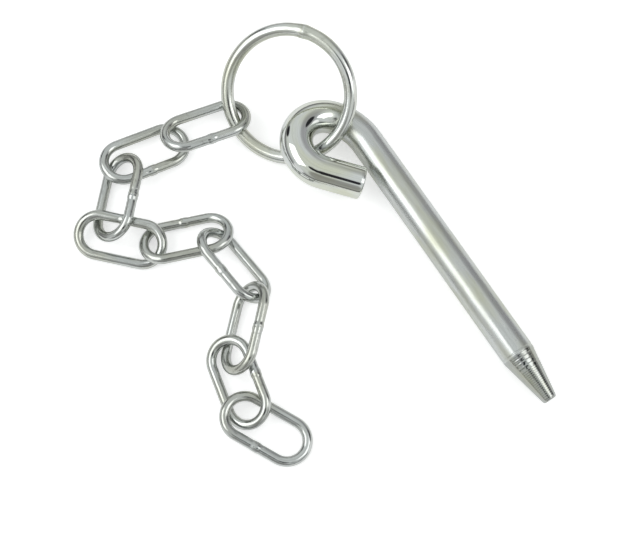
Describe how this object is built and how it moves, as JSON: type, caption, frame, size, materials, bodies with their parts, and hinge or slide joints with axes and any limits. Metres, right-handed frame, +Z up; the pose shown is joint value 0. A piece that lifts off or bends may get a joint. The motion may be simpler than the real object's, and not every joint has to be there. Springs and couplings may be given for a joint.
{
  "type": "drop pin with ring and chain",
  "caption": "Drop pin bent from round bar with a curled eye and a turned point, on a welded ring and a length of long-link chain.",
  "frame": {"origin": "on the axis of the shank, in the middle of the stretch that goes through a hole", "axes": "+X along the shank to the point, +Z up from the floor it lies on"},
  "size_m": [0.1376, 0.0958, 0.0252],
  "materials": {
    "pin_zinc": "bright zinc plate on drawn bar, polished at the eye, turned at the point",
    "ring_zinc": "bright zinc plate on drawn wire, duller at the weld",
    "chain_zinc": "zinc plate, slightly dull, grey at the welds"
  },
  "bodies": {
    "pin": {"pin": "pin_zinc"},
    "ring": {"ring": "ring_zinc"},
    "chain_link_1": {"chain_link_1": "chain_zinc"},
    "chain_link_2": {"chain_link_2": "chain_zinc"},
    "chain_link_3": {"chain_link_3": "chain_zinc"},
    "chain_link_4": {"chain_link_4": "chain_zinc"},
    "chain_link_5": {"chain_link_5": "chain_zinc"},
    "chain_link_6": {"chain_link_6": "chain_zinc"},
    "chain_link_7": {"chain_link_7": "chain_zinc"},
    "chain_link_8": {"chain_link_8": "chain_zinc"},
    "chain_link_9": {"chain_link_9": "chain_zinc"}
  },
  "joints": [
    {"name": "ring_swing", "type": "hinge", "parent": "pin", "child": "ring", "pos_m": [-0.05507, -0.01796, -0.00057], "axis": [0.4206, 0.8392, 0.3448], "range_deg": [0, 100]},
    {"name": "link_1_round_ring", "type": "hinge", "parent": "ring", "child": "chain_link_1", "pos_m": [-0.07177, -0.01329, 0.00756], "axis": [-0.2724, 0.4793, -0.8343], "range_deg": [-36, 120]},
    {"name": "link_2_turn", "type": "hinge", "parent": "chain_link_1", "child": "chain_link_2", "pos_m": [-0.08066, -0.04484, 0.00146], "axis": [-0.3539, 0.1455, 0.9239], "range_deg": [-40, 60]},
    {"name": "link_3_turn", "type": "hinge", "parent": "chain_link_2", "child": "chain_link_3", "pos_m": [-0.07952, -0.06746, -0.00022], "axis": [0.3791, 0.396, -0.8363], "range_deg": [-34, 80]},
    {"name": "link_4_turn", "type": "hinge", "parent": "chain_link_3", "child": "chain_link_4", "pos_m": [-0.06957, -0.07658, -0.00003], "axis": [-0.3791, -0.396, 0.8363], "range_deg": [-84, 42]},
    {"name": "link_5_turn", "type": "hinge", "parent": "chain_link_4", "child": "chain_link_5", "pos_m": [-0.05513, -0.06791, -0.00121], "axis": [0.3477, -0.1017, -0.9321], "range_deg": [-90, 90]},
    {"name": "link_6_turn", "type": "hinge", "parent": "chain_link_5", "child": "chain_link_6", "pos_m": [-0.04419, -0.05511, 0.00067], "axis": [-0.0784, 0.6898, 0.7197], "range_deg": [-90, 66]},
    {"name": "link_7_turn", "type": "hinge", "parent": "chain_link_6", "child": "chain_link_7", "pos_m": [-0.02442, -0.0569, 0.00091], "axis": [0.524, 0.5155, -0.678], "range_deg": [-90, 90]},
    {"name": "link_8_turn", "type": "hinge", "parent": "chain_link_7", "child": "chain_link_8", "pos_m": [-0.00973, -0.06564, 0.00154], "axis": [0.981, -0.1937, -0.0129], "range_deg": [-100, 0]},
    {"name": "link_9_turn", "type": "hinge", "parent": "chain_link_8", "child": "chain_link_9", "pos_m": [0.00192, -0.0753, -0.00105], "axis": [-0.0641, -0.1293, -0.9895], "range_deg": [-52, 0]}
  ]
}
